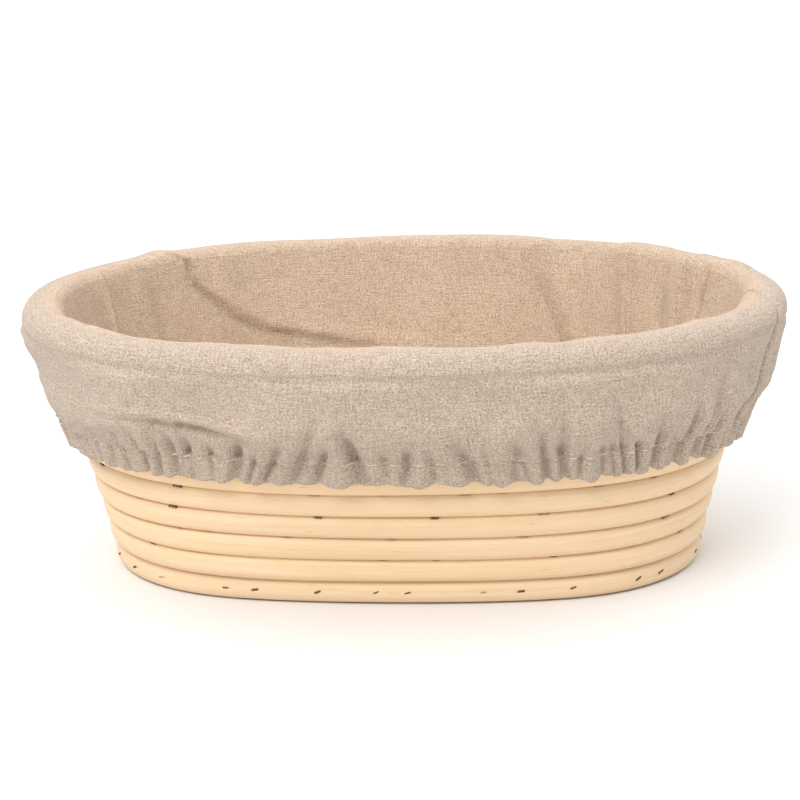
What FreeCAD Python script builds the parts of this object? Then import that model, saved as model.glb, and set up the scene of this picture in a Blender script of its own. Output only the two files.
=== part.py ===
# Oval proofing basket wound from rattan cane, with a lift-out linen liner.
#
# Frame: millimetres, +Z up. The origin is on the surface the basket stands on, under its middle.
# +X runs along the basket. The winding steps up from course to course on the +Y side, left of centre.
#
# A place in the winding is a level and a way. The level says which turn it is: 0 is the straight core
# strip, 1 is the base turn round it, BASE_TURNS is the bottom course, and each level above that is one
# course higher up the wall. The way is the share of a turn, anticlockwise from the +X end.
import FreeCAD, Part
import math
import os

Vector = FreeCAD.Vector
UP = Vector(0, 0, 1)

# Basket, outside the cane
RIM_LENGTH = 206.0
RIM_WIDTH = 148.0
FOOT_LENGTH = 167.0
FOOT_WIDTH = 94.0
BASE_TURNS = 6
WALL_COURSES = 10
COURSE_RISE = 6.75
WALL_HOLLOW = 0.45        # how far the wall's profile sinks below a straight slope

# Cane
CANE = 7.2                # thickness across the wall
BASE_HEIGHT = 6.8         # thickness of the base
CANE_GAP = 0.32           # between neighbouring turns
LEAN_FROM = 2.2           # courses over which the cane comes to lean with the wall
SQUARENESS = 2.7          # power of the cane's rounded-square section
STATIONS = 96             # sections in one turn
SPREAD = 2.2              # how much more finely a turn is divided at the tight ends of the oval
RIM_CORE_Y = 16.0         # half width of the oval's core ellipse at the rim
CORE_BOW = 0.8            # growth of the core ellipse's half width from one base turn to the next
STEP_FROM = 0.30          # the share of a turn in which the winding steps to the next level
STEP_TO = 0.50
SCARF = 0.08              # length of a scarf joint, in turns
SCARF_TIP = 0.14          # share of the height left at a scarf's tip
SCARF_GAP = 0.03          # share of the height left free in the joint by each side
SCARF_LEAD = 0.3          # how soon past the other tip the cane has its full height, in scarfs

# Where one length of cane ends and the next begins, in turns
BASE_START = 0.52
SPLICES = (6.17, 9.12, 12.19)
RIM_END = 0.41            # how far the last turn runs on, as a wedge, into the step below it
WEDGE_DROP = 0.3          # how far the wedge's top falls towards its tip, as a share of the half height

# Pins
PIN_WIRE = 0.8
PIN_LENGTH = 8.0
PIN_HEAD = 2.3            # length of the flattened head
PIN_HEAD_HEIGHT = 1.0
PIN_SUNK = 0.15           # depth of a foot pin's head, at its middle, in the cane
FOOT_PINS = 30
SEAM_PINS = 26
BASE_PINS = 8
PIN_CLEAR = 0.012         # least distance between pins of crossing directions, in turns
PIN_UNEVEN = 0.25         # how far a hand-driven pin strays, as a share of their spacing

# Liner
LINEN = 0.8
LINER_GAP = 0.5           # between the linen and the cane
RIM_CORNER = 0.6          # how far the rim cane's rounded corners reach past its faces
FLOOR_GAP = 0.6           # between the linen and the base
RIM_PUFF = 1.9            # how much further out the linen stands round the rim
HEM_BOTTOM = 36.8
HEM_HEIGHT = 9.0
HEM_HOLLOW = 1.3          # room inside the hem for the elastic
ELASTIC_THICKNESS = 0.8
ELASTIC_HEIGHT = 5.6
STITCHES = 120
STITCH_LENGTH = 2.6
THREAD = 0.5
LINER_POINTS = 48         # points round each ring of the liner

half_cane = CANE / 2
rim_level = BASE_TURNS + WALL_COURSES
base_z = BASE_HEIGHT / 2
foot_core_y = CORE_BOW * BASE_TURNS
foot_reach = FOOT_WIDTH / 2 - half_cane - foot_core_y
rim_reach = RIM_WIDTH / 2 - half_cane - RIM_CORE_Y
foot_core_x = FOOT_LENGTH / 2 - half_cane - foot_reach
rim_core_x = RIM_LENGTH / 2 - half_cane - rim_reach


def smooth(x):
    """0 below 0, 1 above 1, and an even rise between them."""
    x = min(1.0, max(0.0, x))
    return x * x * (3 - 2 * x)


def mix(a, b, share):
    return a + (b - a) * share


# The basket's oval

def oval(core_x, core_y, reach, way):
    """A point at the distance reach outside a thin core ellipse, and the outward normal there."""
    angle = 2 * math.pi * way
    normal = Vector(math.cos(angle), SPREAD * math.sin(angle), 0).normalize()
    size = math.hypot(core_x * normal.x, core_y * normal.y)
    core = Vector(core_x ** 2 * normal.x, core_y ** 2 * normal.y, 0) / max(size, 1e-9)
    return core + normal * reach, normal


def centre(level, way, outwards=0.0):
    """A point on the cane's centre line, or further out from it, and the outward normal in plan."""
    if level <= BASE_TURNS:
        reach = foot_reach * level / BASE_TURNS
        point, normal = oval(foot_core_x, CORE_BOW * level, reach + outwards, way)
        return point + UP * base_z, normal
    share = (level - BASE_TURNS) / WALL_COURSES
    grown = share - WALL_HOLLOW * share * (1 - share)
    core_x = mix(foot_core_x, rim_core_x, grown)
    core_y = mix(foot_core_y, RIM_CORE_Y, grown)
    point, normal = oval(core_x, core_y, mix(foot_reach, rim_reach, grown) + outwards, way)
    return point + UP * (base_z + COURSE_RISE * (level - BASE_TURNS)), normal


def step(way):
    """How far round its swing over the turn before it the winding is, from 0 to a quarter turn."""
    return smooth((way - STEP_FROM) / (STEP_TO - STEP_FROM)) * math.pi / 2


def level_at(turns):
    """Level of the winding after so many turns. A turn moves outwards, or climbs, only in its step,
    where it swings over the turn before it as a coil of rope does."""
    whole = math.floor(turns)
    if whole < BASE_TURNS:
        return whole + 1 - math.cos(step(turns - whole))
    return whole + math.sin(step(turns - whole))


# Cane

def base_room(level, way):
    """Width free for a base turn, from its distances to the turns inside and outside it."""
    level = min(level, BASE_TURNS)
    widths = []
    for low in (level - 1, min(level, BASE_TURNS - 1)):
        point, normal = centre(low, way)
        widths.append((centre(low + 1, way)[0] - point).dot(normal))
    return min(widths)


def section_frame(level, way):
    """Centre of the cane's section, its outward and upward axes, and its half sizes along them."""
    point, normal = centre(level, way)
    wall = smooth(level - BASE_TURNS)
    low = min(max(level - 0.5, BASE_TURNS), rim_level - 1)
    course = centre(low + 1, way)[0] - centre(low, way)[0]
    lean = math.atan2(course.dot(normal), COURSE_RISE) * smooth((level - BASE_TURNS) / LEAN_FROM)
    up = UP * math.cos(lean) + normal * math.sin(lean)
    out = normal * math.cos(lean) - UP * math.sin(lean)
    half_out = mix(base_room(level, way) - CANE_GAP, CANE, wall) / 2
    half_up = mix(BASE_HEIGHT, course.Length - CANE_GAP, wall) / 2
    half_up = mix(half_up, min(half_up, half_cane), smooth(level - rim_level + 1))
    return point, out, up, half_out, half_up


def section(level, way, low=-1.0, high=1.0):
    """The eight control points of the cane's rounded-square section. low and high are the share of
    its height that is left where it is cut down, from -1 at the bottom to 1 at the top."""
    point, out, up, half_out, half_up = section_frame(level, way)
    corner = (6 * 0.5 ** (1 / SQUARENESS) - 1.5) / 3.5
    side = 1.5 - corner / 2
    point += up * (half_up * (low + high) / 2)
    half_up *= (high - low) / 2
    ring = [(side, 0), (corner, corner), (0, side), (-corner, corner),
            (-side, 0), (-corner, -corner), (0, -side), (corner, -corner)]
    return [point + out * (half_out * a) + up * (half_up * b) for a, b in ring]


def through(rows):
    """Moves rows of control points outwards, so that the smooth surface passes through the places
    where they were."""
    moved = [rows[0]]
    for before, row, after in zip(rows, rows[1:], rows[2:]):
        moved.append([(b * 8 - a - c) / 6 for a, b, c in zip(before, row, after)])
    return moved + [rows[-1]]


def tube(rows):
    """A closed solid whose skin is a smooth surface over rows of control points, with flat ends.
    The skin is cut into faces of about a third of a turn."""
    rows = through(rows)
    inner_knots = len(rows) - 3
    around = len(rows[0])
    surface = Part.BSplineSurface()
    surface.buildFromPolesMultsKnots(
        rows, [4] + [1] * (inner_knots - 1) + [4], [1] * (around + 1),
        [float(i) for i in range(inner_knots + 1)], [float(i) for i in range(around + 1)],
        False, True, 3, 3)
    pieces = max(1, round(3 * len(rows) / STATIONS))
    cuts = [round(inner_knots * i / pieces) for i in range(pieces + 1)]
    faces = [surface.toShape(a, b, 0, around) for a, b in zip(cuts, cuts[1:])]
    for end in (0, inner_knots):
        faces.append(Part.Face(Part.Wire(surface.uIso(end).toShape())))
    return closed_solid(faces)


def closed_solid(faces):
    shell = Part.makeShell(faces)
    shell.sewShape()
    solid = Part.Solid(shell)
    if solid.Volume < 0:
        solid.reverse()
    return solid


def scarf(run):
    """Share of the cane's height that is left at a distance run from its scarfed tip, in turns. Two
    such tips, one over the other, fill one course between them."""
    along = run / SCARF
    if along < 1:
        return mix(SCARF_TIP, 1 - SCARF_TIP, along) - SCARF_GAP
    return min(1.0, mix(1 - SCARF_TIP - SCARF_GAP, 1, (along - 1) / SCARF_LEAD))


def cane(start, end, scarf_start=True, scarf_end=True):
    """Sections of a length of cane along the winding, from start to end in turns. A scarfed start
    lies on top of the length before it, and a scarfed end lies under the next one."""
    count = round((end - start) * STATIONS)
    rows = []
    for i in range(count + 1):
        turns = mix(start, end, i / count)
        low = 1 - 2 * scarf(turns - start) if scarf_start else -1.0
        high = -1 + 2 * scarf(end - turns) if scarf_end else 1.0
        rows.append(section(level_at(turns), turns % 1, low, high))
    return rows


def rim_cane(start):
    """The last length of cane. It ends as a long wedge that stays level with the rim while the
    course under it steps up to that height."""
    rows = cane(start, rim_level, True, False)
    count = round(RIM_END * STATIONS)
    for i in range(1, count + 1):
        way = RIM_END * i / count
        climb = math.sin(step(way))
        rows.append(section(rim_level, way, low=-1 + 2 * climb, high=1 - WEDGE_DROP * climb))
    return rows


def core_strip():
    """The straight flat strip in the middle of the base, with round ends and a flat underside."""
    half_width = foot_reach / BASE_TURNS / 2 - CANE_GAP
    left = Vector(-foot_core_x, 0, 0)
    right = Vector(foot_core_x, 0, 0)
    side = Vector(0, half_width, 0)
    tip = Vector(half_width, 0, 0)
    outline = Part.Wire([
        Part.LineSegment(left + side, right + side).toShape(),
        Part.Arc(right + side, right + tip, right - side).toShape(),
        Part.LineSegment(right - side, left - side).toShape(),
        Part.Arc(left - side, left - tip, left + side).toShape()])
    strip = Part.Face(outline).extrude(UP * BASE_HEIGHT)
    edges = [e for e in strip.Edges if abs(e.BoundBox.ZLength) < 1e-6]
    return strip.makeFillet(half_width * 0.45, edges)


# Pins

def pin(head, shank, along):
    """A wire pin with its long flat head at head. It runs into the cane in the direction shank."""
    shank = shank.normalize()
    along = (along - shank * along.dot(shank)).normalize()
    wire = Part.makeCylinder(PIN_WIRE / 2, PIN_LENGTH, head, shank)
    bar = Part.makeCylinder(PIN_HEAD_HEIGHT / 2, PIN_HEAD, head - along * (PIN_HEAD / 2), along)
    return wire.fuse(bar)


def tangent(level, way):
    return (centre(level, way + 0.002)[0] - centre(level, way - 0.002)[0]).normalize()


def spaced(count, level, seed, uneven=PIN_UNEVEN):
    """Ways of about evenly spaced places round a turn."""
    samples = 480
    points = [centre(level, i / samples)[0] for i in range(samples + 1)]
    run = [0.0]
    for a, b in zip(points, points[1:]):
        run.append(run[-1] + (b - a).Length)
    ways = []
    for number in range(count):
        stray = uneven * math.sin(2.4 * number + 1.7 * seed)
        target = (number + 0.37 * seed + stray) / count % 1 * run[-1]
        i = next(i for i in range(samples) if run[i + 1] >= target)
        way = (i + (target - run[i]) / (run[i + 1] - run[i])) / samples
        ways.append(way)
    return ways


def off_step(ways):
    """The places that keep clear of the step in the winding."""
    return [way for way in ways if not STEP_FROM - 0.03 < way < STEP_TO + 0.03]


def foot_ways():
    return off_step(spaced(FOOT_PINS, BASE_TURNS, 0))


def seam_ways(seam):
    """Places of a seam's pins. Those over the bottom course keep clear of the pins through it."""
    ways = off_step(spaced(SEAM_PINS, BASE_TURNS + seam, seam))
    if seam > 0:
        return ways
    return [way for way in ways if min(abs(way - foot) for foot in foot_ways()) > PIN_CLEAR]


def seam_pins(first_seam, last_seam):
    """Pins driven down and inwards through the seams above these courses, into the cane below.
    Some heads lie deeper in the seam than others."""
    pins = []
    for seam in range(first_seam, last_seam + 1):
        level = BASE_TURNS + seam
        for number, way in enumerate(seam_ways(seam)):
            _, out, up, half_out, _ = section_frame(level, way)
            depth = 0.6 + 0.5 * math.sin(3.3 * number + seam)
            head = centre(level + 0.5, way)[0] + out * (half_out - PIN_HEAD_HEIGHT - depth)
            pins.append(pin(head, out * -0.75 - up, tangent(level, way)))
    return Part.makeCompound(pins)


def foot_pins():
    """Pins driven straight in through the bottom course into the edge of the base."""
    pins = []
    for number, way in enumerate(foot_ways()):
        point, out, up, half_out, _ = section_frame(BASE_TURNS, way)
        slant = 0.25 + 0.2 * math.sin(5.1 * number)
        head = point + out * (half_out - PIN_SUNK)
        pins.append(pin(head, out * -1, tangent(BASE_TURNS, way) + up * slant))
    return Part.makeCompound(pins)


def base_pins():
    """Pins driven sideways, each through one base turn into the turn inside it."""
    pins = []
    for turn in range(2, BASE_TURNS):
        for way in off_step(spaced(BASE_PINS, turn, turn)):
            point, out, _, half_out, _ = section_frame(turn, way)
            pins.append(pin(point + out * (half_out - PIN_WIRE), out * -1, tangent(turn, way)))
    return Part.makeCompound(pins)


# Liner

def wall_level(z):
    return BASE_TURNS + (z - base_z) / COURSE_RISE


def ring(outwards, z, level=None):
    """A level closed curve, a distance outwards from the wall's centre line at its height."""
    level = wall_level(z) if level is None else level
    points = []
    for i in range(LINER_POINTS):
        point, _ = centre(min(level, rim_level), i / LINER_POINTS, outwards)
        points.append(Vector(point.x, point.y, z))
    curve = Part.BSplineCurve()
    curve.interpolate(Points=points, PeriodicFlag=True)
    return Part.Wire(curve.toShape())


def crest(z):
    """Half thickness of the leaning cane, measured level."""
    lean = section_frame(min(wall_level(z), rim_level), 0.25)[2].getAngle(UP)
    return half_cane / math.cos(lean)


def inside(z, off_wall):
    return ring(-crest(z) - off_wall, z)


def outside(z, off_wall):
    return ring(crest(z) + off_wall, z)


def rim_roll(radius, puff, from_angle, to_angle, steps):
    """Rings over the rim cane, from the inside of the basket to the outside."""
    rings = []
    rim_z = base_z + COURSE_RISE * WALL_COURSES
    for i in range(steps + 1):
        angle = math.radians(mix(from_angle, to_angle, i / steps))
        wide = radius + puff * max(0.0, math.cos(angle))
        rings.append(ring(wide * math.cos(angle), rim_z + radius * math.sin(angle), rim_level))
    return rings


def liner_bowl():
    """The lining from its floor up the inside of the wall and over the rim, as one thin shell."""
    floor_z = BASE_HEIGHT + FLOOR_GAP
    heights = [14, 26, 38, 50, 59, 65]
    over = half_cane + RIM_CORNER + LINER_GAP
    outer = [ring(-crest(floor_z) - LINER_GAP - 2.2, floor_z),
             ring(-crest(floor_z) - LINER_GAP - 0.6, floor_z + 1.4)]
    outer += [inside(z, LINER_GAP) for z in heights]
    outer += rim_roll(over, RIM_PUFF, 165, 2, 9)
    inner = rim_roll(over + LINEN, RIM_PUFF, 2, 165, 9)
    inner += [inside(z, LINER_GAP + LINEN) for z in reversed(heights)]
    inner += [ring(-crest(floor_z) - LINER_GAP - LINEN - 0.7, floor_z + LINEN + 1.3),
              ring(-crest(floor_z) - LINER_GAP - LINEN - 2.1, floor_z + LINEN)]
    return Part.makeLoft(outer + inner, True, True)


def band(rings):
    """A closed band whose section is the polygon that the rings run through."""
    faces = [Part.makeRuledSurface(a, b) for a, b in zip(rings, rings[1:] + rings[:1])]
    return closed_solid([face for group in faces for face in group.Faces])


def skirt_offset(z):
    """How far outside the cane the skirt hangs: it stands off at the rim and is drawn in at the hem."""
    rim_z = base_z + COURSE_RISE * WALL_COURSES
    share = (z - HEM_BOTTOM - HEM_HEIGHT) / (rim_z - HEM_BOTTOM - HEM_HEIGHT)
    slope = crest(z) + LINER_GAP + (RIM_CORNER + RIM_PUFF) * smooth(share * 1.6)
    return slope + 1.6 * math.sin(math.pi * min(1.0, max(0.0, share)))


def liner_skirt():
    """The part of the linen that hangs outside, from the rim down to the hem."""
    top = base_z + COURSE_RISE * WALL_COURSES - 0.3
    bottom = HEM_BOTTOM + HEM_HEIGHT + 0.15
    heights = [mix(bottom, top, i / 7) for i in range(8)]
    inner = [ring(skirt_offset(z), z) for z in heights]
    outer = [ring(skirt_offset(z) + LINEN, z) for z in reversed(heights)]
    return band(inner + outer)


def hem_casing():
    """The linen folded up on itself along the lower edge, open at the top between its two layers."""
    top = HEM_BOTTOM + HEM_HEIGHT
    hollow_bottom = HEM_BOTTOM + LINEN
    near = LINER_GAP
    far = near + 2 * LINEN + HEM_HOLLOW
    profile = [(near, top - 1.2), (near, HEM_BOTTOM + 0.5), (near + 0.5, HEM_BOTTOM),
               (far - 0.5, HEM_BOTTOM), (far, HEM_BOTTOM + 0.5), (far, top),
               (far - LINEN, top), (far - LINEN, hollow_bottom),
               (near + LINEN, hollow_bottom), (near + LINEN, top - 1.2)]
    return band([outside(z, off) for off, z in profile])


def hem_elastic():
    """The flat elastic that runs round inside the hem."""
    near = LINER_GAP + LINEN + (HEM_HOLLOW - ELASTIC_THICKNESS) / 2
    far = near + ELASTIC_THICKNESS
    bottom = HEM_BOTTOM + LINEN + 0.4
    top = bottom + ELASTIC_HEIGHT
    return band([outside(bottom, near), outside(top, near), outside(top, far), outside(bottom, far)])


def hem_stitches():
    """The row of stitches along the top of the hem, on its outer face."""
    off = LINER_GAP + 2 * LINEN + HEM_HOLLOW + THREAD / 2 + 0.02
    z = HEM_BOTTOM + HEM_HEIGHT - 1.4
    stitches = []
    for way in spaced(STITCHES, wall_level(z), 0, uneven=0):
        point, _ = centre(wall_level(z), way, crest(z) + off)
        run = tangent(wall_level(z), way)
        stitches.append(Part.makeCylinder(THREAD / 2, STITCH_LENGTH, point - run * (STITCH_LENGTH / 2), run))
    return Part.makeCompound(stitches)


os.makedirs("parts", exist_ok=True)
nodes = {
    "core_strip": core_strip(),
    "base_cane": tube(cane(BASE_START, SPLICES[0], scarf_start=False)),
    "lower_wall_cane": tube(cane(SPLICES[0] - SCARF, SPLICES[1])),
    "middle_wall_cane": tube(cane(SPLICES[1] - SCARF, SPLICES[2])),
    "rim_cane": tube(rim_cane(SPLICES[2] - SCARF)),
    "base_pins": base_pins(),
    "foot_pins": foot_pins(),
    "lower_seam_pins": seam_pins(0, 2),
    "middle_seam_pins": seam_pins(3, 5),
    "upper_seam_pins": seam_pins(6, WALL_COURSES - 1),
    "liner_bowl": liner_bowl(),
    "liner_skirt": liner_skirt(),
    "hem_casing": hem_casing(),
    "hem_elastic": hem_elastic(),
    "hem_stitches": hem_stitches(),
}
for name, shape in nodes.items():
    shape.exportStep("parts/" + name + ".step")
    box = shape.BoundBox
    print(f"{name:18s} solids {len(shape.Solids):3d} valid {shape.isValid()} volume {shape.Volume:10.1f}"
          f"  x {box.XMin:7.2f} {box.XMax:7.2f}  y {box.YMin:7.2f} {box.YMax:7.2f}"
          f"  z {box.ZMin:6.2f} {box.ZMax:6.2f}")
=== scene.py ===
# Looks of the oval proofing basket: wound rattan cane and a gathered linen liner.
# Lengths in the code are millimetres, in the frame of the CAD part; meshes are made in metres.
import math
import random

import bmesh
import bpy
import numpy as np
from mathutils import Matrix, Vector


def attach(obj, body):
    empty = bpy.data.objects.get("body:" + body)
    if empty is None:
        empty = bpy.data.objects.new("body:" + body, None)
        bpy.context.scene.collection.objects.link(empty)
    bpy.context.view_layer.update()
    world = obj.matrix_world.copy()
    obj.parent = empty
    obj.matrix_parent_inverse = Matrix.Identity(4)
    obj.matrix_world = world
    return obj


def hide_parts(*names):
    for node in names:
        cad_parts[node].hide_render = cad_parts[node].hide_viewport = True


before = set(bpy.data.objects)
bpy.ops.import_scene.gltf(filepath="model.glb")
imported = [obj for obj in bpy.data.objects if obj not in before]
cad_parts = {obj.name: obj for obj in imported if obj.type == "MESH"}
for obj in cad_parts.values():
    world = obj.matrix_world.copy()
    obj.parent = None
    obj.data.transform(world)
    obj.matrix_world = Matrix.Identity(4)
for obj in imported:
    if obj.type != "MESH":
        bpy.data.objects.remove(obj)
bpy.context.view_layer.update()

MM = 0.001

# The winding, as in the CAD part
RIM_LENGTH, RIM_WIDTH = 206.0, 148.0
FOOT_LENGTH, FOOT_WIDTH = 167.0, 94.0
BASE_TURNS, WALL_COURSES = 6, 10
COURSE_RISE, WALL_HOLLOW = 6.75, 0.45
CANE, BASE_HEIGHT = 7.2, 6.8
CANE_GAP = 0.16           # between the base's turns
COURSE_PRESS = 0.14       # how far the wall's courses press together
SPREAD, RIM_CORE_Y, CORE_BOW, LEAN_FROM = 2.2, 16.0, 0.8, 2.2
STEP_FROM, STEP_TO = 0.30, 0.50
SCARF, SCARF_TIP, SCARF_LEAD = 0.08, 0.10, 0.3
BASE_START, SPLICES = 0.52, (6.17, 9.12, 12.19)
RIM_END, WEDGE_DROP = 0.41, 0.3
RINGS = 220               # sections of cane in a turn
AROUND = 32               # points round a section of cane
CORNER_POWER = 2 / 2.9    # below 1, the cane's section is a little squarer than an ellipse
HALF = CANE / 2
RIM_LEVEL = BASE_TURNS + WALL_COURSES
BASE_Z = BASE_HEIGHT / 2
RIM_Z = BASE_Z + COURSE_RISE * WALL_COURSES
FOOT_CORE_Y = CORE_BOW * BASE_TURNS
FOOT_REACH = FOOT_WIDTH / 2 - HALF - FOOT_CORE_Y
RIM_REACH = RIM_WIDTH / 2 - HALF - RIM_CORE_Y
FOOT_CORE_X = FOOT_LENGTH / 2 - HALF - FOOT_REACH
RIM_CORE_X = RIM_LENGTH / 2 - HALF - RIM_REACH

# The liner
COLUMNS = 1200
CLOTH = 0.55              # thickness
FLOOR_Z = 8.3             # top of the cloth on the floor
HEM_TOP, HEM_BOTTOM = 45.8, 36.9
FLOOR_CORNER = 6.5        # radius between floor and wall
WALL_GAP = 1.3            # from the cane's crest to the cloth inside
STITCHES = 120
ELASTIC_NEAR, ELASTIC_FAR = 1.40, 1.80      # from the cane's crest to the elastic's faces
# Rings of cloth in each part of its profile, counted from the middle of the floor
FLOOR_ROWS, CORNER_ROWS, WALL_ROWS, ROLL_ROWS, SKIRT_ROWS, HEM_ROWS = 15, 8, 56, 30, 52, 14
LINING_ROWS = FLOOR_ROWS + CORNER_ROWS + WALL_ROWS + 12
STITCH_ROW = FLOOR_ROWS + CORNER_ROWS + WALL_ROWS + ROLL_ROWS + SKIRT_ROWS + 1
ROLL = 4.75               # radius of the cloth over the rim


def smooth(x):
    x = np.clip(x, 0.0, 1.0)
    return x * x * (3 - 2 * x)


def mix(a, b, share):
    return a + (b - a) * share


def waves(a, b, seed, size_a, size_b, period=None):
    """Soft random unevenness, about -1 to 1, with features of these sizes along a and b. With a
    period, it closes on itself along a."""
    rng = random.Random(seed)
    count = 26
    total = 0.0
    for _ in range(count):
        ka = rng.uniform(0.35, 1.0) / size_a * rng.choice((-1, 1))
        kb = rng.uniform(-1.0, 1.0) / size_b
        if period:
            ka = (round(ka * period) or 1) / period
        total = total + np.cos(2 * math.pi * (ka * a + kb * b + rng.random()))
    return total / math.sqrt(count) * 0.8


# Shape of the winding

def centre(level, way, outwards=0.0):
    """Points on the winding's centre line, or further out, and the outward normals in plan."""
    level, way = np.broadcast_arrays(np.asarray(level, float), np.asarray(way, float))
    share = np.maximum(level - BASE_TURNS, 0) / WALL_COURSES
    grown = share - WALL_HOLLOW * share * (1 - share)
    base = level <= BASE_TURNS
    core_x = mix(FOOT_CORE_X, RIM_CORE_X, grown)
    core_y = np.where(base, CORE_BOW * level, mix(FOOT_CORE_Y, RIM_CORE_Y, grown))
    reach = np.where(base, FOOT_REACH * level / BASE_TURNS, mix(FOOT_REACH, RIM_REACH, grown))
    reach = reach + outwards
    angle = 2 * math.pi * way
    nx, ny = np.cos(angle), SPREAD * np.sin(angle)
    length = np.hypot(nx, ny)
    nx, ny = nx / length, ny / length
    size = np.maximum(np.hypot(core_x * nx, core_y * ny), 1e-9)
    point = np.stack([core_x ** 2 * nx / size + nx * reach, core_y ** 2 * ny / size + ny * reach,
                      BASE_Z + COURSE_RISE * share * WALL_COURSES], -1)
    return point, np.stack([nx, ny, 0 * nx], -1)


def step(way):
    return smooth((way - STEP_FROM) / (STEP_TO - STEP_FROM)) * math.pi / 2


def level_at(turns):
    whole = np.floor(turns)
    swing = step(turns - whole)
    return whole + np.where(whole < BASE_TURNS, 1 - np.cos(swing), np.sin(swing))


def dot(a, b):
    return (a * b).sum(-1)


def section_frame(level, way):
    """Centres of the cane's sections, their outward and upward axes, and half sizes along them."""
    point, normal = centre(level, way)
    wall = smooth(level - BASE_TURNS)
    low = np.clip(level - 0.5, BASE_TURNS, RIM_LEVEL - 1)
    course = centre(low + 1, way)[0] - centre(low, way)[0]
    lean = np.arctan2(dot(course, normal), COURSE_RISE) * smooth((level - BASE_TURNS) / LEAN_FROM)
    lean = lean[..., None]
    above = np.array([0.0, 0.0, 1.0])
    up = above * np.cos(lean) + normal * np.sin(lean)
    out = normal * np.cos(lean) - above * np.sin(lean)
    turn = np.minimum(level, BASE_TURNS)
    room = [dot(centre(a + 1, way)[0] - centre(a, way)[0], normal)
            for a in (turn - 1, np.minimum(turn, BASE_TURNS - 1))]
    half_out = mix(np.minimum(*room) - CANE_GAP, CANE, wall) / 2
    half_up = mix(BASE_HEIGHT, np.linalg.norm(course, axis=-1) + COURSE_PRESS, wall) / 2
    half_up = mix(half_up, np.minimum(half_up, HALF), smooth(level - RIM_LEVEL + 1))
    return point, out, up, half_out, half_up


# Meshes

def add_mesh(name, verts, faces, uvs=None, values=None):
    """A mesh object. verts are in millimetres, uvs is one pair per face corner, and values gives
    the vertices' named numbers."""
    mesh = bpy.data.meshes.new(name)
    mesh.from_pydata((np.asarray(verts) * MM).tolist(), [], faces)
    if uvs is not None:
        layer = mesh.uv_layers.new(name="Run")
        layer.data.foreach_set("uv", np.asarray(uvs, np.float32).ravel())
    for key, numbers in (values or {}).items():
        attribute = mesh.attributes.new(key, "FLOAT", "POINT")
        attribute.data.foreach_set("value", np.asarray(numbers, np.float32).ravel())
    mesh.validate()
    mesh.shade_smooth()
    piece = bpy.data.objects.new(name, mesh)
    bpy.context.scene.collection.objects.link(piece)
    return piece


def grid_faces(rows, columns):
    """Quads of a grid that closes round its columns, and for their corners the row, and the column
    counted on past the seam."""
    row, column = np.meshgrid(np.arange(rows - 1), np.arange(columns), indexing="ij")
    corners_row = np.stack([row, row, row + 1, row + 1], -1).reshape(-1, 4)
    corners_col = np.stack([column, column + 1, column + 1, column], -1).reshape(-1, 4)
    return corners_row * columns + corners_col % columns, corners_row, corners_col


def cane_piece(name, turns, low, high, seed):
    """A length of cane along the winding. low and high are the share of its height that is left."""
    level = np.minimum(level_at(turns), RIM_LEVEL)
    way = turns % 1
    point, out, up, half_out, half_up = section_frame(level, way)
    run = np.concatenate([[0], np.cumsum(np.linalg.norm(np.diff(point, axis=0), axis=1))])
    point = point + up * (half_up * (low + high) / 2)[:, None]
    half_up = half_up * (high - low) / 2
    on_wall = smooth(level - BASE_TURNS)
    half_out = half_out * (1 + 0.012 * waves(run, 0, seed, 60, 1))
    point = point + out * (0.16 * on_wall * waves(run, 0, seed + 1, 90, 1))[:, None]
    angle = 2 * math.pi * (np.arange(AROUND) + 0.5) / AROUND
    a = np.sign(np.cos(angle)) * np.abs(np.cos(angle)) ** CORNER_POWER
    b = np.sign(np.sin(angle)) * np.abs(np.sin(angle)) ** CORNER_POWER
    verts = (point[:, None] + out[:, None] * (half_out[:, None] * a)[..., None]
             + up[:, None] * (half_up[:, None] * b)[..., None])
    rings = len(turns)
    faces, row, column = grid_faces(rings, AROUND)
    uvs = np.stack([run[row] * MM, column / AROUND], -1)
    last = (rings - 1) * AROUND
    caps = [list(range(AROUND))[::-1], list(range(last, last + AROUND))]
    cap_uvs = np.zeros((2 * AROUND, 2))
    # how near each point lies to the top or bottom of its section, where the cane material paints shade
    # into the grooves between courses
    seam = np.broadcast_to(np.abs(b), (rings, AROUND))
    turn = np.broadcast_to(turns[:, None], (rings, AROUND))
    return add_mesh(name, verts.reshape(-1, 3), faces[:, ::-1].tolist() + caps,
                    np.concatenate([uvs[:, ::-1].reshape(-1, 2), cap_uvs]),
                    {"seam": seam, "turn": turn})


def scarf(run):
    """Share of the cane's height at this distance, in turns, from the tip of a scarf joint."""
    along = run / SCARF
    rising = mix(1 - SCARF_TIP, 1, np.clip((along - 1) / SCARF_LEAD, 0, 1))
    return np.where(along < 1, mix(SCARF_TIP, 1 - SCARF_TIP, along), rising) - 0.01 * (along < 1.3)


def cane_length(name, start, end, seed, scarf_start=True):
    turns = np.linspace(start, end, round((end - start) * RINGS) + 1)
    low = 1 - 2 * scarf(turns - start) if scarf_start else turns * 0 - 1
    return cane_piece(name, turns, low, -1 + 2 * scarf(end - turns), seed)


def rim_length(name, start, seed):
    """The last length of cane, which ends as a wedge on the rim."""
    end = RIM_LEVEL + RIM_END
    turns = np.linspace(start, end, round((end - start) * RINGS) + 1)
    climb = np.where(turns > RIM_LEVEL, np.sin(step(turns - RIM_LEVEL)), 0)
    low = np.maximum(1 - 2 * scarf(turns - start), -1 + 2 * climb)
    return cane_piece(name, turns, low, 1 - WEDGE_DROP * climb, seed)


# Shape of the cloth

way = np.arange(COLUMNS) / COLUMNS
rim_points, rim_normals = centre(RIM_LEVEL, way)
steps = np.linalg.norm(np.roll(rim_points, -1, 0) - rim_points, axis=1)
girth = steps.sum()
along = np.concatenate([[0], np.cumsum(steps)[:-1]])


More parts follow.
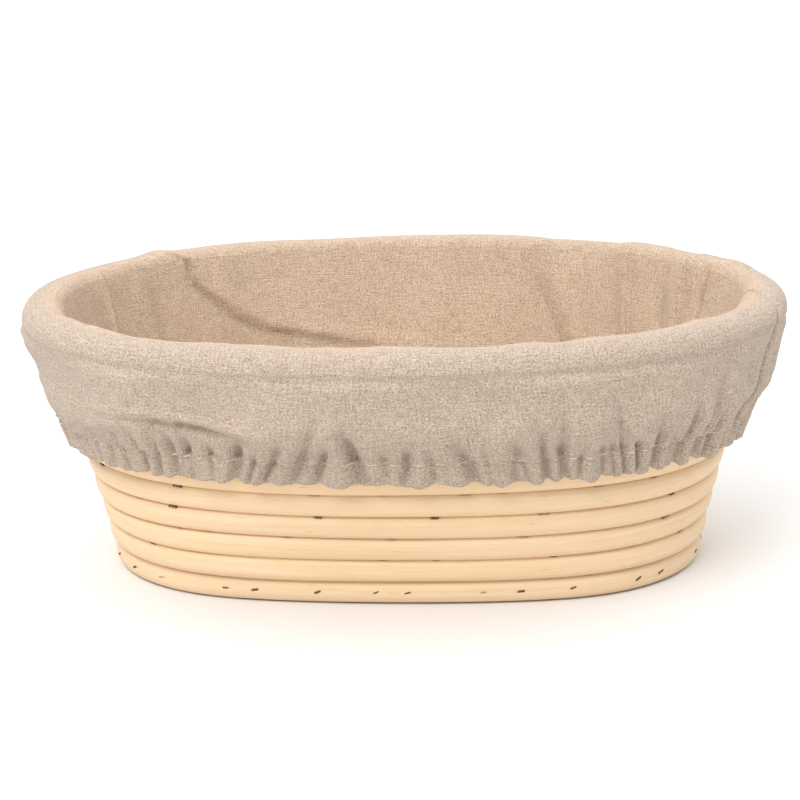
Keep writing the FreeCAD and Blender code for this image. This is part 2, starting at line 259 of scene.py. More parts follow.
def place(x, side):
    """Distance along the rim, anticlockwise from the +X end, of the point at x on that side."""
    half = COLUMNS // 2
    on_side = np.arange(1, half) if side > 0 else np.arange(half + 1, COLUMNS)
    nearest = on_side[np.argmin(np.abs(rim_points[on_side, 0] - x))]
    return along[nearest]


def apart(a, b):
    """Signed distance round the rim from b to a."""
    return (a - b + girth / 2) % girth - girth / 2


def bell(x):
    return np.exp(-x * x)


def hem_folds():
    """Pinched folds that the elastic draws in the linen: place, slope, half width, depth, height."""
    rng = random.Random(4)
    folds = []
    at = 0.0
    while at < girth - 4:
        x = np.interp(at, along, rim_points[:, 0])
        y = np.interp(at, along, rim_points[:, 1])
        tight = 0.45 if x < -62 and y < 20 else 1.0
        folds.append((at, rng.uniform(-0.25, 0.25), rng.uniform(0.9, 1.4),
                      rng.uniform(1.2, 2.7) * tight,
                      rng.choice((7, 10, 13, 17, 23)) * rng.uniform(0.7, 1.2) * tight))
        at += rng.uniform(4.4, 7.8)
    return folds


# Long folds on the front of the skirt: x at the hem, slope, half width, depth, height over the hem
LONG_FOLDS = [(-31.5, 0.05, 1.5, 2.3, 9), (-17.5, 0.2, 1.1, 1.5, 8), (-5.0, -0.28, 1.2, 2.1, 17),
              (-12.5, 0.12, 1.1, 1.6, 9), (18.0, 0.1, 1.3, 1.8, 15), (40.0, 0.12, 1.5, 2.4, 18),
              (54.5, -0.1, 1.2, 1.7, 10), (68.0, 0.1, 1.2, 1.7, 9), (75.5, 0.1, 1.6, 2.3, 20),
              (81.5, 0.15, 1.7, 1.9, 28), (-47.0, 0.2, 1.1, 1.1, 7), (29.0, -0.1, 1.1, 1.5, 9)]
# Soft ridges over those folds
LONG_RIDGES = [(-27.5, 0.05, 2.2, 1.2, 12), (-9.0, -0.2, 2.0, 1.0, 15), (46.5, 0.1, 2.4, 1.3, 18),
               (22.5, 0.1, 2.0, 0.9, 14), (61.0, 0.05, 2.4, 0.9, 14), (86.0, 0.1, 2.6, 1.2, 26)]


def gathers(z):
    """How far the skirt stands out at height z because of its folds."""
    total = np.zeros(COLUMNS)
    hem = mix(0.95, 1.0, float(smooth((z - HEM_TOP + 3) / 5)))
    for at, slope, wide, depth, tall in hem_folds():
        rise = (z - HEM_TOP) / tall
        fade = 1 - smooth(rise)
        if fade <= 0:
            continue
        width = wide * (1 + 1.3 * max(0.0, rise))
        off = apart(along, at + slope * (z - HEM_TOP)) / width
        total -= hem * depth * fade * bell(off)
    for folds, sign in ((LONG_FOLDS, -1), (LONG_RIDGES, 1)):
        for x, slope, wide, depth, tall in folds:
            rise = (z - HEM_TOP) / tall
            fade = 1 - smooth(rise)
            if fade <= 0:
                continue
            width = wide * (1 + 0.9 * max(0.0, rise))
            off = apart(along, place(x, -1) + slope * (z - HEM_TOP)) / width
            total += sign * hem * depth * fade * bell(off)
    puff = 1.7 * bell((z - HEM_TOP - 6.5) / 5.5)
    return total + puff


def scallops():
    """How far the hem's lower edge rises where the cloth is drawn in."""
    return np.clip(0.5 * waves(along, 0, 51, 8, 1, girth) - 0.30 * (gathers(HEM_TOP) - 1.0), -1.2, 1.3)


def skirt_gap(z):
    """How far the skirt's face is from the cane: it hangs from the rim and is drawn in at the hem."""
    heights = [36, 41.5, 46, 51, 56, 60, 66, 71.5]
    ends = np.interp(z, heights, [4.0, 4.1, 4.1, 3.8, 3.5, 3.3, 2.85, 1.7])
    sides = np.interp(z, heights, [4.2, 4.3, 4.8, 5.4, 5.8, 5.1, 3.5, 1.7])
    tighter = smooth((z - 46) / 10) * (1 - smooth((z - 58) / 9))
    left = 1.1 * smooth((-rim_normals[:, 0] - 0.3) * 2) * tighter
    return mix(ends, sides, smooth(np.abs(rim_normals[:, 1]) * 1.2 - 0.1)) - left


def crest(z):
    """Half thickness of the leaning cane, measured level, all round."""
    level = np.full(COLUMNS, min(BASE_TURNS + (z - BASE_Z) / COURSE_RISE, RIM_LEVEL))
    up = section_frame(level, way)[2]
    return HALF / up[:, 2]


def wall_ring(z, off):
    """A ring at the height z, off from the cane's centre line, and the outward normals."""
    level = min(BASE_TURNS + (z - BASE_Z) / COURSE_RISE, RIM_LEVEL)
    point, normal = centre(np.full(COLUMNS, level), way, off)
    point[:, 2] = z
    return point, normal


def crease(z, middle, at, reach, half_width):
    """A fold that runs along the rim's direction: cloth above it hangs over the cloth below."""
    t = (z - middle) / half_width
    return t * np.exp(-t * t) * 1.6 * bell(apart(along, at) / reach)


def skirt_relief(z):
    """Everything that moves the skirt's face in or out at the height z."""
    slack = 1.2 * waves(along, z, 11, 34, 40, girth) * smooth((73 - z) / 8)
    small = 0.30 * waves(along, z, 12, 9, 13, girth) * smooth((74 - z) / 6)
    at = place(-46, -1)
    line = 55.6 - 0.10 * apart(along, at) - 0.004 * apart(along, at) ** 2
    left = 2.2 * crease(z, line, at, 19, 1.6)
    second = 1.1 * crease(z, 50 + 0.25 * apart(along, place(-72, -1)), place(-72, -1), 9, 2.4)
    return gathers(z) + slack + small + left + second + tuck(z) * smooth((74 - HEM_BOTTOM) / 6)


def tuck(z, over=0.0):
    """The lapped fold at the right-hand end: cloth beyond it stands over a narrow groove."""
    middle = -20 - 0.30 * max(0.0, 72 - z) - 0.008 * max(0.0, 66 - z) ** 2 + over
    off = apart(along, middle)
    fade = smooth((z - 47) / 9)
    lap = smooth((off + 0.6) / 1.4) * (1 - smooth((off - 9) / 22))
    return fade * (0.5 * lap - 2.7 * bell((off + 0.7) / 0.75) + 0.4 * bell((off + 4) / 3.5))


def fold_line(z):
    """Place of the long diagonal fold on the inside, at the back on the left."""
    x = np.interp(z, [46, 48, 50, 52.4, 56.8, 62.4, 68.5, 74.8, 78],
                  [-10, -20.5, -31, -45.5, -56, -64, -72.6, -79, -82])
    return place(float(x), 1)


def inner_relief(z):
    """How far the cloth inside stands off the wall, towards the middle of the basket."""
    wall = smooth((z - 14) / 10)
    slack = 0.9 * (1 + waves(along, z * 0.6, 21, 42, 60, girth)) * wall
    small = 0.30 * waves(along, z, 22, 12, 22, girth) * wall
    off = apart(along, fold_line(z))
    crisp = mix(5.5, 0.9, smooth((z - 50) / 20))
    fade = smooth((z - 40) / 14) * mix(1, 0.6, smooth((z - 62) / 10))
    # anticlockwise along the back is towards -X, so the cloth on the right of the fold has off < 0
    lap = smooth((-off + crisp) / (2 * crisp)) * (1 - smooth((-off - 4) / 30))
    groove = bell((off - crisp * 0.8) / (0.8 + crisp * 0.6))
    total = slack + small + fade * (1.4 * lap - 0.35 * groove)
    for x, side, lean, wide, depth, low, high in INNER_FOLDS:
        line = place(x, side) + lean * (z - 76)
        reach = smooth((z - low) / 10) * (1 - smooth((z - high) / 6))
        total += depth * reach * bell(apart(along, line) / wide)
    return np.maximum(total, 0.0)


# Smaller folds inside: x at the rim, side, slope, half width, height of the fold, from z, to z
INNER_FOLDS = [(23, 1, 0.35, 1.0, 0.9, 62, 78), (66, 1, 0.10, 2.2, 1.8, 40, 78),
               (58, 1, 0.2, 4.0, -1.2, 45, 78), (77, 1, 0.2, 3.0, -1.5, 50, 78),
               (84, 1, 0.1, 2.4, 1.6, 45, 80), (90, 1, 0.2, 1.2, -1.4, 55, 80),
               (-93, 1, -0.25, 0.9, 0.9, 45, 77), (-86, 1, 0.1, 3.5, 1.3, 40, 78),
               (-97, -1, 0.15, 2.5, 1.1, 40, 76), (10, 1, -0.2, 6.0, 1.8, 30, 74),
               (40, 1, 0.3, 5.0, 2.4, 38, 76)]
# Rises and dips of the rim: x, side, half width, height
RIM_WAVES = [(-77, 1, 5.0, 1.0), (51, 1, 9.0, -1.7), (65, 1, 6.0, 0.5), (80, 1, 4.5, -1.2),
             (93, 1, 6.0, 0.7), (45, -1, 5.0, -0.6), (36, -1, 6.0, 0.4), (88, -1, 6.0, -0.4),
             (15, 1, 20.0, 0.3)]


def rim_relief():
    total = 0.28 * waves(along, 0, 31, 38, 1, girth)
    for x, side, wide, height in RIM_WAVES:
        total = total + height * bell(apart(along, place(x, side)) / wide)
    return total


def liner_rows():
    """Rings of the visible face of the cloth, from the middle of the floor over the rim to the hem."""
    rows = []
    edge = wall_ring(FLOOR_Z, -crest(FLOOR_Z) - WALL_GAP - FLOOR_CORNER)[0]
    spine = edge.copy()
    spine[:, 0] *= 0.52
    spine[:, 1] = 0
    for share in np.linspace(0, 1, FLOOR_ROWS + 1)[:-1]:
        point = mix(spine, edge, share)
        slack = 0.25 * (1 + waves(point[:, 0], point[:, 1], 41, 30, 30))
        point[:, 2] = FLOOR_Z + slack * smooth((1 - share) * 4)
        rows.append(point)
    for angle in np.linspace(90, 0, CORNER_ROWS + 1)[:-1]:
        bend = math.radians(angle)
        z = FLOOR_Z + FLOOR_CORNER * (1 - math.sin(bend))
        rows.append(wall_ring(z, -crest(z) - WALL_GAP - FLOOR_CORNER * (1 - math.cos(bend)))[0])
    for z in np.linspace(FLOOR_Z + FLOOR_CORNER, RIM_Z - 3.5, WALL_ROWS):
        rows.append(wall_ring(z, -crest(z) - WALL_GAP - inner_relief(z) * smooth((z - 15) / 8))[0])
    rim = rim_relief()
    for angle in np.linspace(158, -6, ROLL_ROWS):
        turn = math.radians(angle)
        inside, outside = max(0.0, -math.cos(turn)), max(0.0, math.cos(turn))
        radius = ROLL + 0.7 * outside + 0.6 * inside
        radius = radius + rim * mix(0.5, 1.0, abs(math.sin(turn)))
        if angle > 95:
            inner = inner_relief(mix(RIM_Z - 3.5, 77.0, (158 - angle) / 68))
            radius = radius + inner * inside * smooth((angle - 92) / 40)
        over = 13 * inside + 6 * max(0.0, math.sin(turn))
        radius = radius + tuck(71.0, over) * mix(0.5, 1, outside)
        radius = np.maximum(radius, ROLL - 0.1)
        point, _ = centre(np.full(COLUMNS, RIM_LEVEL), way, radius * math.cos(turn))
        point[:, 2] = RIM_Z + radius * math.sin(turn)
        rows.append(point)
    last = np.linalg.norm((rows[-1] - rim_points)[:, :2], axis=1)
    for z in np.linspace(RIM_Z - 1.2, HEM_TOP, SKIRT_ROWS):
        off = crest(z) + np.maximum(skirt_gap(z) + skirt_relief(z), 1.5)
        rows.append(wall_ring(z, mix(last, off, float(smooth((RIM_Z - z) / 4))))[0])
    scallop = scallops()
    for z in np.linspace(HEM_TOP - 0.7, HEM_BOTTOM + 1.0, HEM_ROWS):
        low = smooth((HEM_TOP - z) / 6)
        stitched = 0.55 * bell((z - HEM_TOP + 1.6) / 0.9)
        pucker = 0.35 * waves(along, z * 0.3, 52, 4.2, 20, girth)
        face = skirt_gap(z) + 0.9 * gathers(z) + pucker - stitched
        point = wall_ring(z, crest(z) + np.maximum(face, 2.6))[0]
        point[:, 2] += scallop * low
        rows.append(point)
    for turn in (0.3, 0.8, 1.25):
        z = HEM_BOTTOM + 1.0 - math.sin(turn)
        face = skirt_gap(z) + 0.8 * gathers(z) - 1.5 * (1 - math.cos(turn))
        point = wall_ring(z, crest(z) + np.maximum(face, 1.3))[0]
        point[:, 2] += scallop
        rows.append(point)
    for z in (HEM_BOTTOM + 1.2, HEM_BOTTOM + 3.5, HEM_BOTTOM + 6.0, HEM_TOP - 1.2):
        point = wall_ring(z, crest(z) + 0.75)[0]
        point[:, 2] += scallop
        rows.append(point)
    return rows


def make_stitches(row):
    """A row of short stitches that lies on this ring of the hem."""
    around, samples, length, thick = 6, 7, 2.5, 0.24
    loop = np.vstack([row, row[:1]])
    circle = np.append(along, girth)
    verts, faces = [], []
    for number in range(STITCHES):
        at = (number + 0.5) / STITCHES * girth
        where = at + np.linspace(-0.5, 0.5, samples) * length
        path = np.stack([np.interp(where, circle, loop[:, i]) for i in range(3)], -1)
        out = np.stack([np.interp(where, circle[:-1], rim_normals[:, i]) for i in range(3)], -1)
        path += out * (0.16 - 0.34 * np.abs(np.linspace(-1, 1, samples)) ** 4)[:, None]
        for i in range(samples):
            taper = thick * (1 - 0.7 * abs(2 * i / (samples - 1) - 1) ** 3)
            for k in range(around):
                turn = 2 * math.pi * k / around
                rise = np.array([0, 0, taper * math.sin(turn)])
                verts.append(path[i] + out[i] * (taper * math.cos(turn)) + rise)
        first = number * samples * around
        for i in range(samples - 1):
            for k in range(around):
                a, b = first + i * around + k, first + i * around + (k + 1) % around
                faces.append((a, b, b + around, a + around))
        faces.append(tuple(first + k for k in range(around))[::-1])
        faces.append(tuple(first + (samples - 1) * around + k for k in range(around)))
    return add_mesh("hem_stitching", verts, faces)


def make_elastic():
    """The flat elastic inside the hem, with a slightly wavy edge."""
    bottom, top = HEM_BOTTOM + 1.9, HEM_BOTTOM + 6.6
    edge = scallops() + 0.12 * waves(along, 0, 71, 5, 1, girth)
    rows = []
    for off, z in ((ELASTIC_NEAR, bottom), (ELASTIC_NEAR, top),
                   (ELASTIC_FAR, top), (ELASTIC_FAR, bottom)):
        ring = wall_ring(z, crest(z) + off)[0]
        ring[:, 2] += edge
        rows.append(ring)
    faces = grid_faces(len(rows) + 1, COLUMNS)[0] % (len(rows) * COLUMNS)
    return add_mesh("elastic_band", np.vstack(rows), faces[:, ::-1].tolist())


def hollows(rows):
    """How far each point stands out of the cloth round it: below zero in a fold."""
    mean = sum(np.roll(rows, step, 1) for step in range(-8, 9)) / 17
    padded = np.pad(mean, ((4, 4), (0, 0), (0, 0)), "edge")
    mean = sum(padded[step:step + len(rows)] for step in range(9)) / 9
    normal = np.cross(np.roll(rows, -1, 1) - np.roll(rows, 1, 1), np.gradient(rows, axis=0))
    normal /= np.maximum(np.linalg.norm(normal, axis=2, keepdims=True), 1e-9)
    out = ((rows - mean) * normal).sum(2)
    if (normal[STITCH_ROW] * rim_normals).sum() < 0:
        out = -out
    out[:FLOOR_ROWS + CORNER_ROWS + 1] = 0
    return np.clip(out, -2, 2)


def make_liner(rows):
    """The whole cloth as one sheet with thickness."""
    faces, row, column = grid_faces(len(rows), COLUMNS)
    gaps = np.linalg.norm(np.diff(rows, axis=0), axis=2)
    down = np.concatenate([[np.zeros(COLUMNS)], np.cumsum(gaps, 0)])
    depth = down.mean(1)
    circle = np.append(along, girth)
    u, v = circle[column], depth[row]
    on_floor = row.max(1) <= FLOOR_ROWS
    flat = rows[row, column % COLUMNS]
    u = np.where(on_floor[:, None], flat[..., 0], u)
    v = np.where(on_floor[:, None], flat[..., 1] + 300, v)
    uvs = np.stack([u, v], -1) * MM
    lining = np.repeat((np.arange(len(rows)) < LINING_ROWS).astype(float), COLUMNS)
    piece = add_mesh("linen_liner", rows.reshape(-1, 3), faces[:, ::-1].tolist(),
                     uvs[:, ::-1].reshape(-1, 2), {"lining": lining, "fold": hollows(rows).ravel()})
    cloth = bmesh.new()
    cloth.from_mesh(piece.data)
    cloth.verts.ensure_lookup_table()
    bmesh.ops.remove_doubles(cloth, verts=cloth.verts[:COLUMNS], dist=1e-5)
    cloth.to_mesh(piece.data)
    cloth.free()
    thick = piece.modifiers.new("thickness", "SOLIDIFY")
    thick.thickness = CLOTH * MM
    thick.offset = -1
    return piece


# Materials

class Nodes:
    """Builds a material's nodes."""

    def __init__(self, name):
        self.material = bpy.data.materials.new(name)
        self.material.use_nodes = True
        self.tree = self.material.node_tree
        self.shader = next(n for n in self.tree.nodes if n.type == "BSDF_PRINCIPLED")

    def node(self, kind, inputs=None, **settings):
        node = self.tree.nodes.new("ShaderNode" + kind)
        for key, value in settings.items():
            setattr(node, key, value)
        for key, value in (inputs or {}).items():
            self.put(node.inputs[key], value)
        return node

    def put(self, socket, value):
        if isinstance(value, bpy.types.NodeSocket):
            self.tree.links.new(value, socket)
        else:
            socket.default_value = value

    def math(self, operation, *values):
        node = self.node("Math", operation=operation)
        for socket, value in zip(node.inputs, values):
            self.put(socket, value)
        return node.outputs[0]

    def blend(self, share, a, b, kind="MIX"):
        node = self.node("Mix", data_type="RGBA", blend_type=kind)
        for socket, value in ((node.inputs[0], share), (node.inputs[6], a), (node.inputs[7], b)):
            self.put(socket, value)
        return node.outputs[2]

    def noise(self, vector, scale, detail=2.0, rough=0.5):
        return self.node("TexNoise", {"Vector": vector, "Scale": scale, "Detail": detail,
                                      "Roughness": rough}).outputs["Fac"]

    def stretch(self, vector, x, y, z=1.0):
        return self.node("VectorMath", {0: vector, 1: (x, y, z)}, operation="MULTIPLY").outputs[0]

    def band(self, value, low, high, to_low=0.0, to_high=1.0):
        return self.node("MapRange", {"Value": value, "From Min": low, "From Max": high,
                                      "To Min": to_low, "To Max": to_high}).outputs[0]

    def bump(self, height, strength, distance, before=None):
        inputs = {"Height": height, "Strength": strength, "Distance": distance}
        if before is not None:
            inputs["Normal"] = before
        return self.node("Bump", inputs).outputs[0]


def shade(r, g, b):
    """A linear colour from 0-255 screen values."""
    return tuple(((c / 255 + 0.055) / 1.055) ** 2.4 if c > 10 else c / 3294 for c in (r, g, b)) + (1.0,)


def linen():
    n = Nodes("linen")
    cloth = n.node("UVMap", uv_map="Run").outputs[0]
    drift = n.noise(cloth, 260.0, 2.0)
    drift_b = n.noise(n.stretch(cloth, -1.0, 1.3), 240.0, 2.0)
    split = n.node("SeparateXYZ", {0: cloth})
    thread = 0.00056
    u = n.math("MULTIPLY_ADD", drift, 1.7, n.math("DIVIDE", split.outputs[0], thread))
    v = n.math("MULTIPLY_ADD", drift_b, 1.7, n.math("DIVIDE", split.outputs[1], thread))
    wave_u = n.math("SINE", n.math("MULTIPLY", u, math.pi))
    wave_v = n.math("SINE", n.math("MULTIPLY", v, math.pi))
    cross = n.math("MULTIPLY", wave_u, wave_v)
    height = n.math("POWER", n.math("ABSOLUTE", cross), 0.55)
    over = n.band(cross, -0.12, 0.12)
    threads = n.node("CombineXYZ", {0: u, 1: v}).outputs[0]
    warp = n.noise(n.stretch(threads, 0.9, 0.16), 1.0, 3.0, 0.65)
    weft = n.noise(n.stretch(threads, 0.14, 0.9), 1.0, 3.0, 0.65)
    yarn = n.node("Mix", {0: over, 2: warp, 3: weft}).outputs[0]
    fleck = n.noise(cloth, 1900.0, 2.0, 0.7)
    tone = n.math("MULTIPLY_ADD", fleck, 0.75, n.math("MULTIPLY", yarn, 0.65))
    tone = n.band(tone, 0.50, 0.90)
    pale = n.blend(n.node("Attribute", attribute_name="lining").outputs["Fac"],
                   shade(217, 200, 184), shade(226, 204, 181))
    dark = n.blend(n.node("Attribute", attribute_name="lining").outputs["Fac"],
                   shade(139, 122, 104), shade(151, 124, 99))
    colour = n.blend(tone, dark, pale)
    # Painted shade: the colour darkens to 0.8 where the weave's height is low, in the hollows between
    # the threads
    weave_hollow_shade = n.band(height, 0.0, 0.5, 0.80, 1.0)
    colour = n.blend(1.0, colour, n.node("CombineXYZ", {0: weave_hollow_shade, 1: weave_hollow_shade, 2: weave_hollow_shade}).outputs[0], "MULTIPLY")
    soft = n.noise(cloth, 45.0, 3.0)
    colour = n.blend(n.band(soft, 0.35, 0.7, 0.0, 0.16), colour, shade(184, 162, 144))
    fold = n.node("Attribute", attribute_name="fold").outputs["Fac"]
    shadow = n.math("MINIMUM", n.band(fold, -0.9, -0.10, 0.78, 1.0), n.band(fold, 0.0, 0.8, 1.0, 1.06))
    shadow = n.node("CombineXYZ", {0: shadow, 1: shadow, 2: shadow}).outputs[0]
    colour = n.blend(1.0, colour, shadow, "MULTIPLY")
    slub = n.band(n.noise(n.stretch(cloth, 0.6, 1.4), 900.0, 1.0), 0.80, 0.84)
    colour = n.blend(n.math("MULTIPLY", slub, 0.75), colour, shade(96, 76, 66))
    white = n.band(n.noise(n.stretch(cloth, 1.6, 0.9), 1100.0, 1.0), 0.70, 0.78)
    colour = n.blend(n.math("MULTIPLY", white, 0.5), colour, shade(250, 243, 234))
    n.put(n.shader.inputs["Base Color"], colour)
    n.put(n.shader.inputs["Roughness"], n.band(yarn, 0.2, 0.8, 0.82, 0.96))
    n.shader.inputs["Specular IOR Level"].default_value = 0.2
    n.shader.inputs["Sheen Weight"].default_value = 0.12
    n.shader.inputs["Sheen Roughness"].default_value = 0.6
    wrinkle = n.bump(n.noise(n.stretch(cloth, 1.0, 0.8), 210.0, 4.0, 0.6), 0.35, 0.0008)
    slubby = n.bump(n.math("MULTIPLY_ADD", yarn, 0.5, height), 0.55, 0.00022, wrinkle)
    n.put(n.shader.inputs["Normal"], slubby)
    return n.material


def cane():
    n = Nodes("cane")
    run = n.node("UVMap", uv_map="Run").outputs[0]
    seam = n.node("Attribute", attribute_name="seam").outputs["Fac"]
    turn = n.node("Attribute", attribute_name="turn").outputs["Fac"]
    split = n.node("SeparateXYZ", {0: run})
    fibre = n.node("CombineXYZ", {0: split.outputs[0], 1: split.outputs[1],
                                  2: n.math("MULTIPLY", turn, 0.37)}).outputs[0]
    wide = n.noise(n.stretch(fibre, 22.0, 26.0, 3.0), 1.0, 3.0, 0.6)
    fine = n.noise(n.stretch(fibre, 60.0, 150.0, 3.0), 1.0, 3.0, 0.6)
    drift = n.noise(n.stretch(fibre, 9.0, 1.5, 2.2), 1.0, 2.0)
    colour = n.blend(n.band(wide, 0.3, 0.72), shade(237, 211, 178), shade(229, 199, 160))
    colour = n.blend(n.band(fine, 0.46, 0.78, 0.0, 0.40), colour, shade(212, 172, 124))
    colour = n.blend(n.band(drift, 0.40, 0.75, 0.0, 0.55), colour, shade(236, 202, 158))
    dash = n.noise(n.stretch(fibre, 190.0, 95.0, 7.0), 1.0, 1.0)
    colour = n.blend(n.band(dash, 0.73, 0.80, 0.0, 0.55), colour, shade(176, 128, 78))
    # Painted shade: the colour turns a darker tan towards the top and bottom of each section, in the
    # grooves between the courses
    colour = n.blend(n.band(seam, 0.90, 1.0, 0.0, 0.55), colour, shade(196, 148, 96))
    n.put(n.shader.inputs["Base Color"], colour)
    n.put(n.shader.inputs["Roughness"], n.band(fine, 0.2, 0.8, 0.42, 0.62))
    n.shader.inputs["Specular IOR Level"].default_value = 0.35
    ridges = n.math("MULTIPLY_ADD", wide, 0.6, fine)
    n.put(n.shader.inputs["Normal"], n.bump(ridges, 0.30, 0.0004))
    return n.material


def spread(points):
    """How unevenly these points stand round their middle."""
    return np.ptp(np.linalg.norm(points - points.mean(0), axis=1))


def drive_in(name, node, hidden, seed):
    """The pins of a CAD node, drawn finer and driven into the cane, some of them nearly out of sight."""
    rng = random.Random(seed)
    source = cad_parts[node]
    work = bmesh.new()
    work.from_mesh(source.data)
    work.transform(source.matrix_world)
    work.verts.ensure_lookup_table()
    seen, verts, faces, tones = set(), [], [], []
    for start in work.verts:
        if start.index in seen:
            continue
        island, queue = [], [start]
        seen.add(start.index)
        while queue:
            vert = queue.pop()
            island.append(vert)
            for edge in vert.link_edges:
                other = edge.other_vert(vert)
                if other.index not in seen:
                    seen.add(other.index)
                    queue.append(other)
        points = np.array([vert.co[:] for vert in island]) / MM
        middle = points.mean(0)
        shank = np.linalg.svd(points - middle, full_matrices=False)[2][0]
        away = (points - middle) @ shank
        if spread(points[away > away.max() - 0.9]) < spread(points[away < away.min() + 0.9]):
            shank, away = -shank, -away
        top = points[away > away.max() - 0.3].mean(0)
        faint = rng.random() < hidden
        size = rng.uniform(0.55, 0.66) if faint else rng.uniform(0.64, 0.80)
        sunk = rng.uniform(0.30, 0.42) if faint else rng.uniform(0.02, 0.2)
        moved = top + (points - top) * size - shank * sunk
        places = {vert.index: len(verts) + i for i, vert in enumerate(island)}
        verts.extend(moved)
        tones.extend([float(faint)] * len(island))
        joined = {face for vert in island for face in vert.link_faces}
        for face in sorted(joined, key=lambda face: face.index):
            faces.append(tuple(places[vert.index] for vert in face.verts))
    work.free()
    return add_mesh(name, verts, faces, None, {"tone": np.array(tones)})


def pins():
    n = Nodes("pin_wire")
    place_at = n.node("TexCoord").outputs["Object"]
    patch = n.noise(place_at, 900.0, 3.0, 0.6)
    n.put(n.shader.inputs["Base Color"], n.blend(
        n.node("Attribute", attribute_name="tone").outputs["Fac"],
        n.blend(n.band(patch, 0.35, 0.7), shade(74, 48, 32), shade(128, 90, 58)), shade(176, 136, 92)))
    n.put(n.shader.inputs["Roughness"], n.band(patch, 0.3, 0.7, 0.5, 0.8))
    n.put(n.shader.inputs["Normal"], n.bump(patch, 0.3, 0.0001))
    return n.material


def strip():
    n = Nodes("core_strip")
    place_at = n.node("TexCoord").outputs["Object"]
    grain = n.noise(n.stretch(place_at, 30.0, 900.0, 900.0), 1.0, 3.0, 0.6)
    n.put(n.shader.inputs["Base Color"],
          n.blend(n.band(grain, 0.35, 0.7), shade(242, 214, 172), shade(222, 182, 130)))
    n.put(n.shader.inputs["Roughness"], n.band(grain, 0.3, 0.7, 0.5, 0.65))
    n.put(n.shader.inputs["Normal"], n.bump(grain, 0.3, 0.0003))
    return n.material


def elastic():
    n = Nodes("elastic")
    place_at = n.node("TexCoord").outputs["Object"]
    ribs = n.noise(n.stretch(place_at, 200.0, 200.0, 1400.0), 1.0, 2.0)
    n.put(n.shader.inputs["Base Color"],
          n.blend(n.band(ribs, 0.4, 0.6), shade(226, 222, 214), shade(246, 244, 240)))
    n.shader.inputs["Roughness"].default_value = 0.8
    n.put(n.shader.inputs["Normal"], n.bump(ribs, 0.4, 0.0003))
    return n.material


def thread():
    n = Nodes("thread")
    place_at = n.node("TexCoord").outputs["Object"]
    twist = n.noise(place_at, 3000.0, 2.0)
    n.put(n.shader.inputs["Base Color"],
          n.blend(n.band(twist, 0.4, 0.6), shade(196, 176, 156), shade(226, 210, 192)))
    n.shader.inputs["Roughness"].default_value = 0.85
    n.put(n.shader.inputs["Normal"], n.bump(twist, 0.4, 0.0001))
    return n.material


def give(piece, material):
    piece.data.materials.clear()
    piece.data.materials.append(material)


# Camera and light

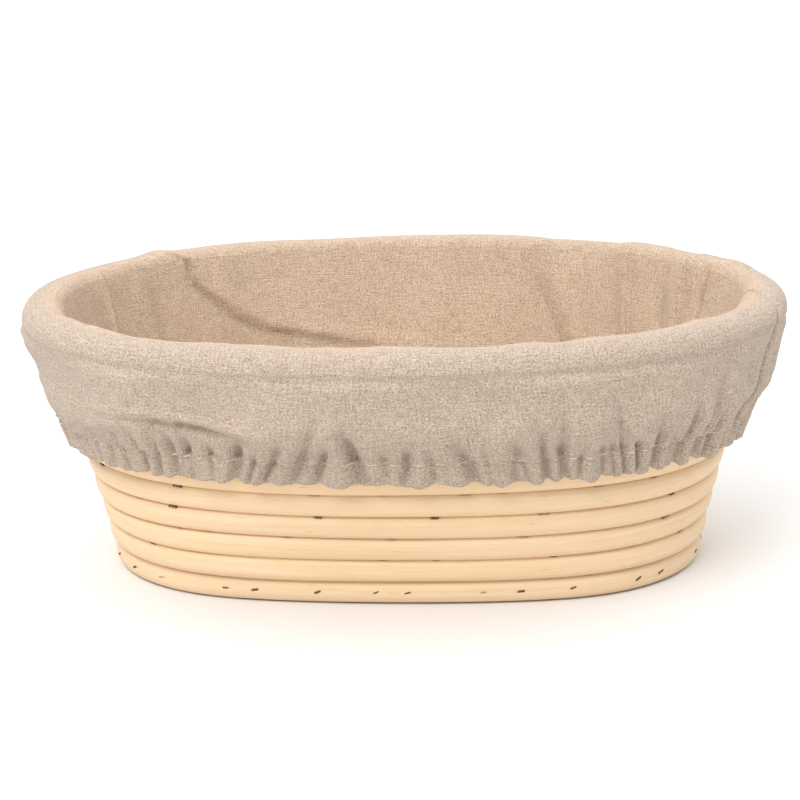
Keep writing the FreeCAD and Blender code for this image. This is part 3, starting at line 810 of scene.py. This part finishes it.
def studio():
    yaw, tilt, distance = math.radians(4.96), math.radians(15.65), 0.600
    back = Vector((math.sin(yaw) * math.cos(tilt), -math.cos(yaw) * math.cos(tilt), math.sin(tilt)))
    right = Vector((math.cos(yaw), math.sin(yaw), 0))
    target = right * -0.00095 + Vector((0, 0, 0.04324))      # what the camera looks at
    data = bpy.data.cameras.new("camera")
    data.lens = 96.4
    data.sensor_width = 36.0
    data.clip_start, data.clip_end = 0.01, 20.0
    camera = bpy.data.objects.new("camera", data)
    bpy.context.scene.collection.objects.link(camera)
    up = back.cross(right)
    turned = Matrix((right, up, back)).transposed() @ Matrix.Rotation(-0.0268, 3, "Z")
    camera.matrix_world = Matrix.Translation(target + back * distance) @ turned.to_4x4()
    bpy.context.scene.camera = camera

    floor = add_mesh("floor", [(-3000, -3000, 0), (3000, -3000, 0), (3000, 3000, 0), (-3000, 3000, 0)],
                     [(0, 1, 2, 3)])
    floor.location.z = -0.0002
    paint = Nodes("floor_paint")
    paint.put(paint.shader.inputs["Base Color"], (0.80, 0.80, 0.80, 1))
    paint.shader.inputs["Roughness"].default_value = 0.9
    paint.shader.inputs["Specular IOR Level"].default_value = 0.1
    give(floor, paint.material)

    world = bpy.data.worlds.new("studio")
    world.use_nodes = True
    background = next(n for n in world.node_tree.nodes if n.type == "BACKGROUND")
    background.inputs["Color"].default_value = (1.0, 0.99, 0.98, 1)
    background.inputs["Strength"].default_value = 0.72
    bpy.context.scene.world = world
    bpy.context.scene.view_settings.view_transform = "Standard"

    def lamp(name, at, size, power, colour):
        data = bpy.data.lights.new(name, "AREA")
        data.shape = "RECTANGLE"
        data.size, data.size_y = size
        data.energy = power
        data.color = colour
        light = bpy.data.objects.new(name, data)
        light.location = at
        light.rotation_euler = (Vector((0, 0, 0.04)) - Vector(at)).to_track_quat("-Z", "Y").to_euler()
        bpy.context.scene.collection.objects.link(light)

    lamp("key", (-0.38, -0.92, 1.1), (0.8, 0.6), 12.0, (1.0, 0.985, 0.97))
    lamp("top", (0.0, 0.8, 2.6), (6.0, 6.0), 126.0, (1.0, 0.995, 0.99))


studio()
linen_look, cane_look, pin_look = linen(), cane(), pins()

canes = {
    "base_cane": cane_length("cane_base", BASE_START, SPLICES[0], 61, scarf_start=False),
    "lower_wall_cane": cane_length("cane_lower", SPLICES[0] - SCARF, SPLICES[1], 62),
    "middle_wall_cane": cane_length("cane_middle", SPLICES[1] - SCARF, SPLICES[2], 63),
    "rim_cane": rim_length("cane_rim", SPLICES[2] - SCARF, 64),
}
for node, piece in canes.items():
    give(piece, cane_look)
    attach(piece, "basket")
    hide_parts(node)
give(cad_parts["core_strip"], strip())
# Each group of pins, and the share of them that hardly shows
pin_groups = (("base_pins", 0.3), ("foot_pins", 0.1), ("lower_seam_pins", 0.75),
              ("middle_seam_pins", 0.5), ("upper_seam_pins", 0.45))
for number, (node, hidden) in enumerate(pin_groups):
    piece = drive_in(node.replace("_pins", "_wires"), node, hidden, 80 + number)
    give(piece, pin_look)
    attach(piece, "basket")
    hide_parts(node)
rows = np.array(liner_rows())
liner = make_liner(rows)
stitching = make_stitches(rows[STITCH_ROW])
band = make_elastic()
for piece, material, node, slot in ((stitching, thread(), "hem_stitches", "thread"),
                                    (band, elastic(), "hem_elastic", "elastic")):
    give(piece, material)
    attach(piece, "liner")
    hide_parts(node)
give(liner, linen_look)
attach(liner, "liner")
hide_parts("liner_bowl", "liner_skirt", "hem_casing")
